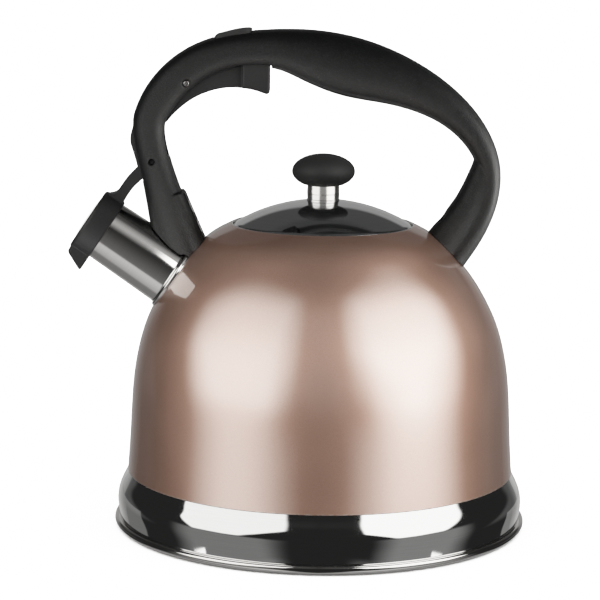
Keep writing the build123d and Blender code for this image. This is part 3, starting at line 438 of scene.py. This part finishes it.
# opening of the spout through the wall
cut_r = spout_r(140.0) - 1.0
cutter = lathe("spout_cutter", [(0, 112.0), (cut_r, 112.0), (cut_r, 152.0), (0, 152.0)], 128, on_spout)
cutter.data.materials.append(PAINT)
cutter.data.materials.append(SATIN_IN)
cutter.data.polygons.foreach_set("material_index", np.ones(len(cutter.data.polygons), np.int32))
m = body.modifiers.new("opening", "BOOLEAN")
m.operation, m.object, m.solver = "DIFFERENCE", cutter, "EXACT"
baked(body)
bpy.data.objects.remove(cutter)
body.data.shade_smooth()
body.data.set_sharp_from_angle(angle=math.radians(38))
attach(body, "kettle")
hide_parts("body_shell")

band_out = natural(BAND_OUTER, 14)
band_in = natural([(102.0, SEAM_Z), (103.45, 25.55), (106.15, 20.05), (107.3, 14.2), (106.92, 8.5), (106.4, 4.8)], 6)
band = lathe("lower_band_skin", [(p[0], p[1]) for p in band_out] + band_in[::-1], 400)
finish_piece(band, [POLISH_BAND], "kettle", "polished_steel", "lower_band")

pan = [(0, 4.8), (60, 4.8), (104.0, 4.8), (107.2, 4.8)] + arc(108.1, 2.9, 1.9, 1.9, 95, -152, 40)
pan += [(106.3, 3.8), (100.0, 3.8), (60.0, 3.8), (0, 3.8)]
finish_piece(lathe("bottom_pan_skin", pan, 400), [POLISH], "kettle", "polished_steel", "bottom_pan")

cup = [(0, 0.0), (20, 0.0)]
for r0, r1 in ((32.4, 34.0), (60.4, 62.0)):
    cup += [(r0 - 0.12, 0.0), (r0 + 0.12, 0.4), (r1 - 0.12, 0.4), (r1 + 0.12, 0.0)]
cup += [(80.0, 0.0)] + arc(91.3, 0.9, 0.9, 0.9, -90, 0, 6) + [(92.2, 3.6), (92.0, 3.8), (91.0, 3.8), (91.0, 1.2), (60.0, 1.2), (0, 1.2)]
finish_piece(lathe("base_plate_skin", cup, 256), [SATIN], "kettle", "satin_steel", "base_plate")

seat = rounded([(43.6, 150.5), (44.4, 150.5), (44.4, 157.6), (48.3, 157.6), (48.3, 161.65), (47.6, 161.65),
                (47.6, 158.4), (43.6, 158.4)], 0.32, 5)
finish_piece(lathe("lid_seat_ring_skin", seat, 288), [POLISH], "kettle", "polished_steel", "lid_seat_ring")


# ------------------------------------------------------------------ spout
def root(r_of_t, f):
    """Distance along the spout at which a line of the tube comes out of the dome."""
    lo, hi = 110.0, 165.0
    for _ in range(40):
        t = (lo + hi) / 2
        x, y, z = (c / MM for c in on_spout(r_of_t(t), t, f))
        if math.hypot(x, y) < np.interp(z, DOME_Z, DOME_R):
            lo = t
        else:
            hi = t
    return (lo + hi) / 2


def tube_line(f):
    t0 = max(root(spout_r, f), 130.0)
    t1 = max(root(lambda t: spout_r(t) - 1.0, f), 130.0)
    line = [(spout_r(t0 + (185.9 - t0) * k / 36), t0 + (185.9 - t0) * k / 36) for k in range(37)]
    e = 16.25
    line += [(e - 0.04, 186.15), (e - 0.16, 186.33), (e - 0.34, 186.4), (e - 0.80, 186.4), (e - 0.95, 186.3)]
    line += [(spout_r(186.0 + (t1 - 186.0) * k / 18) - 1.0, 186.0 + (t1 - 186.0) * k / 18) for k in range(19)]
    return line


def collar_line(f):
    t0 = max(root(lambda t: 19.0, f), 134.0)
    t1 = max(root(spout_r, f), 134.0)
    h = 140.0 - t0
    line = [(19.0, t0), (19.0, t0 + 0.22 * h), (18.98, t0 + 0.34 * h), (18.65, t0 + 0.44 * h), (18.65, t0 + 0.50 * h),
            (18.98, t0 + 0.60 * h), (19.0, t0 + 0.68 * h), (19.0, 139.8)]
    line += [(18.1 + 0.9 * math.cos(a), 140.0 + 1.0 * math.sin(a)) for a in [math.radians(15 * k) for k in range(7)]]
    e = spout_r(142.1)
    line += [(18.1 - (18.1 - e) * math.sin(a), 142.1 - 1.1 * math.cos(a)) for a in [math.radians(15 * k) for k in range(1, 7)]]
    line += [(spout_r(142.1 + (t1 - 142.1) * k / 4), 142.1 + (t1 - 142.1) * k / 4) for k in range(1, 5)]
    return line


spout_skins = [
    finish_piece(lathe("spout_tube_skin", tube_line, 192, on_spout), [POLISH_SPOUT], "kettle", "polished_steel", "spout_tube"),
    finish_piece(lathe("spout_collar_skin", collar_line, 192, on_spout), [POLISH_SPOUT], "kettle", "polished_steel", "spout_collar")]

# ------------------------------------------------------------------ lid and knob
top = [(r, lid_z(r)) for r in [2.6, 5.0] + [8.0 + 38.1 * k / 40 for k in range(41)]]
rim = natural([top[-1], (LID_R - 0.55, 161.02), (LID_R - 0.14, 160.55), (LID_R, 159.9)], 5)[1:]
under = [(LID_R, 158.9), (LID_R - 0.2, LID_EDGE_Z), (LID_R - 0.7, LID_EDGE_Z), (LID_R - LID_T, 158.9)]
below = [(r, lid_z(r, True)) for r in [LID_R - LID_T - 40.0 * k / 30 for k in range(31)] + [4.0, 2.6]]
lid_skin = finish_piece(lathe("lid_shell_skin", top + rim + under + below, 320), [POLISH_LID], "lid", "polished_steel", "lid_shell")

skirt = rounded([(42.5, 151.0), (43.3, 151.0), (43.3, lid_z(43.3, True)), (42.5, lid_z(42.5, True))], 0.25, 4)
finish_piece(lathe("lid_skirt_skin", skirt, 256), [SATIN], "lid", "satin_steel", "lid_skirt")

stem = [(7.6, lid_z(7.6)), (8.75, lid_z(8.75))] + arc(8.45, 174.45, 0.3, 0.45, -20, 80, 6)
stem += [(8.48, 175.2), (8.52, 176.2), (8.57, 177.2), (8.57, 177.35), (8.50, 177.45), (8.50, 177.55), (8.58, 177.65),
         (8.6, 177.9), (8.6, 178.4), (8.56, 179.6), (8.51, 181.0), (8.46, 181.9), (8.40, 182.3), (8.3, 182.4), (7.6, 182.4)]
stem_skin = finish_piece(lathe("knob_sleeve_skin", stem, 160), [POLISH_SMALL], "lid", "polished_steel", "knob_sleeve")

ball = [(16.7 * math.sin(math.radians(a)), 189.4 + 9.4 * math.cos(math.radians(a))) for a in range(0, 91, 3)]
ball += [(16.7 * math.cos(math.radians(a)), 189.4 - 8.9 * math.sin(math.radians(a))) for a in range(3, 49, 3)]
ball += [(10.73, 182.58), (10.4, 182.5), (8.8, 182.42), (8.3, 182.4), (7.6, 182.4), (7.6, 174.7), (2.5, 174.7), (2.5, 191.0),
         (0, 191.0)]
finish_piece(lathe("knob_skin", ball, 192), [KNOB], "lid", "black_knob", "knob")

# ------------------------------------------------------------------ cap face
plate = [(1.5, 194.2), (1.5, 194.82), (1.75, 194.95)]
plate += natural([(1.75, 194.95), (5.0, 194.88), (9.5, 194.55), (13.0, 194.12)], 8)[1:]
plate += [(13.3, 194.0), (13.4, 193.8), (13.4, 193.2), (10.4, 193.2)] + natural([(10.4, 193.2), (8.0, 193.85), (5.0, 194.1), (1.5, 194.2)], 5)[1:-1]
face_skin = finish_piece(lathe("whistle_face_skin", plate, 160, on_spout), [POLISH_SPOUT], "cap", "polished_steel", "whistle_face")

# ------------------------------------------------------------------ moulded parts
def handle_blend(p):
    """Rear leg and its web run into each other, and so do the front leg and its rib."""
    x, y, z = p.T
    off = np.where(z < NECK_Z, np.hypot(x, y) - np.interp(z, DOME_Z, DOME_R), 10.0)
    rear = step(x, 46.0, 52.0) * step(z, 194.0, 186.0)
    front = step(x, -90.0, -86.0) * step(x, -50.0, -56.0) * step(z, 177.2, 175.2) * step(np.abs(y), 7.2, 8.4)
    return np.maximum(rear, front) * step(off, 1.0, 5.0)


handle_skin = finish_piece(moulded("handle_skin", "handle", 0.45, 5, handle_blend, 120), [HANDLE], "kettle", "black_handle", "handle")
finish_piece(moulded("thumb_pad_skin", "thumb_pad", 0.25, 5), [PAD], "kettle", "black_pad", "thumb_pad")
finish_piece(moulded("trigger_lever_skin", "trigger_lever", 0.28, 4), [LEVER], "trigger", "black_handle", "trigger_lever")
cap_skin = finish_piece(moulded("spout_cap_skin", "spout_cap", 0.25, 3), [CAP], "cap", "black_handle", "spout_cap")
bracket_skin = finish_piece(moulded("front_bracket_skin", "front_bracket", 0.22, 3), [COAT], "kettle", "black_coat", "front_bracket")

# ------------------------------------------------------------------ nodes that keep their own mesh
KEEP = {"heat_spreader": ALUMINIUM, "front_bracket_screws": FITTING, "rear_bracket": COAT, "rear_bracket_screw": FITTING,
        "trigger_pin": FITTING, "cap_pin": COAT, "return_spring": WIRE, "whistle_disc": SATIN, "cap_seal": SILICONE,
        "knob_screw": FITTING, "knob_washer": SATIN}
for name, mat in KEEP.items():
    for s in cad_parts[name].material_slots:
        s.material = mat

# ------------------------------------------------------------------ floor
fm = Look("floor_look", Specular_IOR_Level=0.2)
fm.feed("Base Color", fm.mix(fm.span(fm.noise(3.0, 3.0), 0.3, 0.7), rgb(0.86, 0.86, 0.86), rgb(0.89, 0.89, 0.885)))
fm.feed("Roughness", fm.span(fm.noise(60.0, 2.0), 0.3, 0.7, 0.75, 0.85))
fm.feed("Normal", fm.bump(fm.noise(500.0, 2.0), 0.00005, 0.2))
ring = 96
rings = (0.25, 0.6, 1.5, 4.0, 16.0)
verts = [(0, 0, -0.0003)]
for r in rings:
    verts += [(r * math.cos(2 * math.pi * k / ring), r * math.sin(2 * math.pi * k / ring), -0.0003) for k in range(ring)]
faces = [(0, 1 + k, 1 + (k + 1) % ring) for k in range(ring)]
for j in range(len(rings) - 1):
    a, b = 1 + j * ring, 1 + (j + 1) * ring
    faces += [(a + k, b + k, b + (k + 1) % ring, a + (k + 1) % ring) for k in range(ring)]
floor = mesh_object("floor", verts, faces)
floor.data.materials.append(fm.mat)
floor.visible_glossy = False
floor.visible_diffuse = False
floor.visible_shadow = False

# ------------------------------------------------------------------ studio light
world = bpy.data.worlds.new("studio")
world.use_nodes = True
scene.world = world
nt = world.node_tree
nt.nodes.clear()
direction = node(nt, "ShaderNodeTexCoord").outputs["Generated"]
dx, dy, dz = node(nt, "ShaderNodeSeparateXYZ", {0: direction}).outputs


def wm(op, a, b=0.0, c=0.0):
    return node(nt, "ShaderNodeMath", {0: a, 1: b, 2: c}, operation=op).outputs[0]


def ease(v, a, b):
    return node(nt, "ShaderNodeMapRange", {"Value": v, "From Min": a, "From Max": b}, interpolation_type="SMOOTHSTEP",
                clamp=True).outputs[0]


# directions around the object: azimuth 0 is towards the front, elevation 0 is level
AZ = wm("MULTIPLY", wm("ARCTAN2", dx, wm("MULTIPLY", dy, -1.0)), 180 / math.pi)
EL = wm("MULTIPLY", wm("ARCSINE", dz), 180 / math.pi)
ABS_AZ = wm("ABSOLUTE", AZ)


def panel(a0, a1, e0, e1, soft=2.0, soft_e=2.0, az=None):
    az = az or AZ
    h = wm("MULTIPLY", ease(az, a0 - soft, a0 + soft), ease(az, a1 + soft, a1 - soft))
    v = wm("MULTIPLY", ease(EL, e0 - soft_e, e0 + soft_e), ease(EL, e1 + soft_e, e1 - soft_e))
    return wm("MULTIPLY", h, v)


# pale sweep behind the object: highest at the back, and lower towards the sides
sweep_top = wm("MULTIPLY_ADD", ABS_AZ, 0.49, -63.2)
sweep_top = wm("MULTIPLY_ADD", ease(ABS_AZ, 145.0, 165.0), 5.0, sweep_top)
sweep = ease(wm("SUBTRACT", EL, sweep_top), 3.5, -3.5)
sweep_foot = wm("MULTIPLY_ADD", ease(ABS_AZ, 138.0, 160.0), -50.0, -9.0)
sweep = wm("MULTIPLY", sweep, ease(wm("SUBTRACT", EL, sweep_foot), -4.0, 4.0))
glow = wm("MULTIPLY", ease(ABS_AZ, 140.0, 164.0), wm("MULTIPLY_ADD", ease(EL, 24.0, 0.0), 0.12, 0.18))
total = wm("ADD", 0.016, wm("MULTIPLY", sweep, wm("ADD", glow, 0.06)))
for amount, mask in (
    (0.18, panel(-84, -26, -70, 5, 10.0, 2.5)),        # table in front of the softboxes
    (0.22, panel(38, 88, -70, 5, 10.0, 2.5)),
    (0.55, wm("MULTIPLY", panel(22, 190, -90, -33, 8.0, 3.0, ABS_AZ), wm("MULTIPLY_ADD", ease(ABS_AZ, 105.0, 5.0), 0.78, 0.31))),
    (0.044, panel(138, 190, 16, 50, 8.0, 4.0, ABS_AZ)),   # wall behind, above the sweep
    (0.030, panel(138, 190, 50, 78, 8.0, 4.0, ABS_AZ)),
    (0.04, panel(-1, 135, 42, 100, 12.0, 8.0, ABS_AZ)),   # dim ceiling
):
    total = wm("ADD", total, wm("MULTIPLY", mask, amount))
light = node(nt, "ShaderNodeBackground", {0: rgb(1.0, 0.988, 0.975), 1: total})
white = node(nt, "ShaderNodeBackground", {0: rgb(1.0, 1.0, 1.0), 1: 5.0})
ray = node(nt, "ShaderNodeLightPath").outputs["Is Camera Ray"]
both = node(nt, "ShaderNodeMixShader", {0: ray, 1: light.outputs[0], 2: white.outputs[0]})
node(nt, "ShaderNodeOutputWorld", {0: both.outputs[0]})


def only_on(lamp, *pieces, state="INCLUDE"):
    """The lamp lights these pieces alone, or with EXCLUDE all but these."""
    group = bpy.data.collections.new(lamp.name + "_lit")
    for ob in pieces:
        group.objects.link(ob)
    for item in group.collection_objects:
        item.light_linking.link_state = state
    lamp.light_linking.receiver_collection = group


def softbox(name, end0, end1, z0, tops, radiance, cut=0.0, soft=0.03, soft_z=0.03, soft_top=None):
    """Upright softbox between two ends (azimuth, distance): sloped top, lower corners cut, soft edge.
    cut and soft may differ between the two ends."""
    cut = cut if isinstance(cut, tuple) else (cut, cut)
    soft = soft if isinstance(soft, tuple) else (soft, soft)
    ends = [Vector((math.sin(math.radians(a)) * d, -math.cos(math.radians(a)) * d, 0.0)) for a, d in (end0, end1)]
    up = Vector((0.0, 0.0, 1.0))
    wide, w = (ends[1] - ends[0]).length, (ends[1] - ends[0]).normalized()
    u = w.cross(up)
    at = (ends[0] + ends[1]) / 2
    z1 = max(tops)
    lamp = bpy.data.lights.new(name, "AREA")
    lamp.shape, lamp.size, lamp.size_y = "RECTANGLE", wide, z1 - z0
    lamp.energy = radiance * math.pi * wide * (z1 - z0)
    lamp.color = (1.0, 0.985, 0.965)
    lamp.use_nodes = True
    lt = lamp.node_tree
    lt.nodes.clear()

    def lm(op, a, b=0.0, c=0.0):
        return node(lt, "ShaderNodeMath", {0: a, 1: b, 2: c}, operation=op).outputs[0]

    def rise(v, width):
        return node(lt, "ShaderNodeMapRange", {"Value": v, "From Min": 0.0, "From Max": width}, interpolation_type="SMOOTHSTEP",
                    clamp=True).outputs[0]

    place = node(lt, "ShaderNodeNewGeometry").outputs["Position"]
    z = node(lt, "ShaderNodeSeparateXYZ", {0: place}).outputs[2]
    x = node(lt, "ShaderNodeVectorMath", {0: place, 1: tuple(w)}, operation="DOT_PRODUCT").outputs["Value"]
    x = lm("SUBTRACT", x, w.dot(ends[0]))
    far = lm("SUBTRACT", wide, x)
    top = lm("MULTIPLY_ADD", x, (tops[1] - tops[0]) / wide, tops[0])
    above = lm("SUBTRACT", z, z0)
    mask = lm("MULTIPLY", rise(above, soft_z), rise(lm("SUBTRACT", top, z), soft_top or soft_z * 2))
    for along, edge, corner in ((x, soft[0], cut[0]), (far, soft[1], cut[1])):
        mask = lm("MULTIPLY", mask, rise(along, edge))
        if corner:
            mask = lm("MULTIPLY", mask, rise(lm("SUBTRACT", lm("ADD", along, above), corner), min(soft) * 1.4))
    glow = node(lt, "ShaderNodeEmission", {"Color": rgb(1.0, 1.0, 1.0), "Strength": mask})
    node(lt, "ShaderNodeOutputLight", {0: glow.outputs[0]})
    ob = bpy.data.objects.new(name, lamp)
    ob.matrix_world = Matrix(((w[0], up[0], u[0], at[0]), (w[1], up[1], u[1], at[1]),
                              (w[2], up[2], u[2], (z0 + z1) / 2), (0, 0, 0, 1)))
    ob.visible_camera = False
    scene.collection.objects.link(ob)
    return ob


only_on(softbox("softbox_left", (-83.0, 0.78), (-17.0, 0.56), 0.055, (0.86, 0.86), 2.0, 0.22), body, stem_skin, handle_skin,
        state="EXCLUDE")
only_on(softbox("softbox_right", (23.0, 0.66), (88.0, 0.58), 0.050, (0.95, 0.95), 2.8, 0.20), body, stem_skin, lid_skin, cap_skin, bracket_skin, handle_skin,
        *spout_skins, state="EXCLUDE")
# the boxes as the paint shows them, with their light off the wall between them and off the table
only_on(softbox("paint_left", (-105.0, 0.91), (-10.0, 0.60), -0.070, (1.00, 1.20), 3.8, (0.54, 0.13), (0.62, 0.24), 0.22, 1.02), body)
only_on(softbox("paint_right", (10.5, 0.63), (111.0, 0.76), -0.050, (1.22, 1.02), 5.5, (0.20, 0.43), (0.30, 0.46), 0.15, 1.06), body)
only_on(softbox("wall_mid", (-24.0, 0.62), (26.0, 0.62), 0.0, (1.0, 1.0), 0.30, 0.0, 0.08, 0.22), body)
only_on(softbox("fill_right", (96.0, 0.70), (150.0, 0.70), -0.20, (0.60, 0.60), 0.10, 0.0, 0.20, 0.15), body)
only_on(softbox("fill_left", (-150.0, 0.70), (-104.0, 0.70), -0.20, (0.30, 0.30), 0.05, 0.0, 0.20, 0.15), body)
only_on(softbox("table_left", (-80.0, 0.64), (-8.0, 0.62), -0.25, (0.07, 0.07), 1.9, 0.0, 0.34, 0.06), body)
only_on(softbox("table_right", (10.0, 0.62), (90.0, 0.62), -0.25, (0.10, 0.10), 2.1, 0.0, 0.36, 0.06), body)
# the right box and the room in front, on the spout, and a card close to its root
only_on(softbox("spout_right", (0.0, 0.62), (80.0, 0.62), 0.385, (1.07, 1.07), 0.52, 0.0, 0.03, 0.27), *spout_skins)
only_on(softbox("spout_front", (-42.0, 0.62), (30.0, 0.62), -0.45, (0.42, 0.42), 0.13, 0.0, 0.20, 0.32), *spout_skins)
only_on(softbox("spout_card", (-13.1, 0.154), (13.1, 0.154), 0.15, (0.236, 0.336), 5.0, 0.0, 0.012, 0.017), *spout_skins)
# pale table and wall behind, at the ends of the band
only_on(softbox("band_left_low", (-178.0, 0.62), (-109.0, 0.62), -0.45, (-0.006, -0.006), 0.14, 0.0, 0.02, 0.008), band)
only_on(softbox("band_left_high", (-178.0, 0.62), (-135.5, 0.62), -0.02, (0.25, 0.25), 0.13, 0.0, 0.02, 0.008), band)
only_on(softbox("band_right_low", (121.0, 0.62), (178.0, 0.62), -0.45, (-0.045, -0.045), 0.20, 0.0, 0.02, 0.008), band)
only_on(softbox("band_right_high", (141.0, 0.62), (178.0, 0.62), -0.06, (0.25, 0.25), 0.21, 0.0, 0.02, 0.008), band)
# two small lamps low at the sides
only_on(softbox("spot_left", (-72.8, 0.62), (-64.0, 0.62), -0.305, (-0.272, -0.258), 2.4, 0.0, 0.010, 0.006), band)
only_on(softbox("spot_right", (62.8, 0.62), (71.6, 0.62), -0.305, (-0.258, -0.272), 2.4, 0.0, 0.010, 0.006), band)
# pale wall behind, on the cap's plate
only_on(softbox("back_plate", (-176.0, 0.70), (-118.0, 0.70), -0.10, (0.70, 0.70), 1.6, 0.0, 0.05), face_skin)
# front light on the handle, and light off the table on the cap
only_on(softbox("front_handle", (-34.0, 0.90), (14.0, 0.90), -0.15, (0.34, 0.34), 0.15, 0.0, 0.20, 0.12), cap_skin)
only_on(softbox("handle_left", (-62.0, 0.42), (-30.0, 0.40), 0.08, (0.45, 0.45), 2.6, 0.0, 0.06, 0.06), handle_skin)
only_on(softbox("handle_right", (56.0, 0.62), (118.0, 0.62), -0.10, (0.40, 0.40), 6.5, 0.0, 0.10, 0.08), handle_skin)
only_on(softbox("leg_card", (2.0, 0.27), (42.0, 0.27), -0.04, (0.15, 0.15), 0.6, 0.0, 0.03, 0.02), handle_skin)
only_on(softbox("leg_front", (-44.0, 0.165), (-12.0, 0.125), 0.06, (0.175, 0.175), 4.4, 0.0, 0.02, 0.02), handle_skin)
only_on(softbox("leg_rear", (24.0, 0.135), (50.0, 0.185), 0.06, (0.175, 0.175), 2.6, 0.0, 0.02, 0.02), handle_skin)
only_on(softbox("cap_table", (-75.0, 0.62), (0.0, 0.62), -0.70, (-0.10, -0.10), 3.4, 0.0, 0.10, 0.06), cap_skin)
only_on(softbox("cap_right", (23.0, 0.66), (88.0, 0.58), 0.05, (0.95, 0.95), 1.1, 0.0, 0.10, 0.06), cap_skin)
# the boxes and the room on the stem of the knob
only_on(softbox("stem_left", (-94.0, 0.62), (-27.0, 0.62), -0.30, (0.60, 0.60), 1.7, 0.0, 0.02, 0.05), stem_skin)
only_on(softbox("stem_mid", (-31.0, 0.62), (28.0, 0.62), -0.30, (0.60, 0.60), 0.22, 0.0, 0.01, 0.05), stem_skin)
only_on(softbox("stem_right", (24.0, 0.62), (94.0, 0.62), -0.30, (0.60, 0.60), 2.4, 0.0, 0.02, 0.05), stem_skin)

# even light on the floor alone
lamp = bpy.data.lights.new("floor_light", "SUN")
lamp.angle, lamp.energy = math.radians(110.0), 16.0
sun = bpy.data.objects.new("floor_light", lamp)
sun.visible_glossy = False
scene.collection.objects.link(sun)
only_on(sun, floor)

# ------------------------------------------------------------------ camera
TH, RO = 0.1675, 0.0121
ax_x = Vector((math.cos(RO), math.sin(RO) * math.sin(TH), math.sin(RO) * math.cos(TH)))
ax_y = Vector((-math.sin(RO), math.cos(RO) * math.sin(TH), math.cos(RO) * math.cos(TH)))
ax_z = ax_x.cross(ax_y)
cam = bpy.data.cameras.new("camera")
cam.sensor_fit, cam.sensor_width, cam.lens = "HORIZONTAL", 36.0, 139.66
cam.clip_start, cam.clip_end = 0.05, 200.0
eye = bpy.data.objects.new("camera", cam)
eye.matrix_world = Matrix(((ax_x[0], ax_y[0], ax_z[0], -0.011615), (ax_x[1], ax_y[1], ax_z[1], -1.2236),
                           (ax_x[2], ax_y[2], ax_z[2], 0.32710), (0, 0, 0, 1)))
scene.collection.objects.link(eye)
scene.camera = eye
scene.view_settings.view_transform = "Standard"

# exposure with a soft shoulder, as a camera gives it
EXPOSURE = 1.35
scene.view_settings.use_curve_mapping = True
tone = scene.view_settings.curve_mapping
tone.clip_min_x, tone.clip_min_y, tone.clip_max_x, tone.clip_max_y = 0.0, 0.0, 4.0, 4.0
for k in range(3):
    tone.curves[k].points[1].location = (4.0, 4.0)
curve = tone.curves[3]
curve.points[0].location = (0.0, 0.0)
curve.points[1].location = (4.0, 1.0)
for x in (0.06, 0.13, 0.22, 0.34, 0.5, 0.7, 0.95, 1.25, 1.6, 2.0, 2.5, 3.1):
    curve.points.new(x, (1 - math.exp(-EXPOSURE * x)) / (1 - math.exp(-EXPOSURE * 4.0)))
tone.extend = "HORIZONTAL"
tone.update()
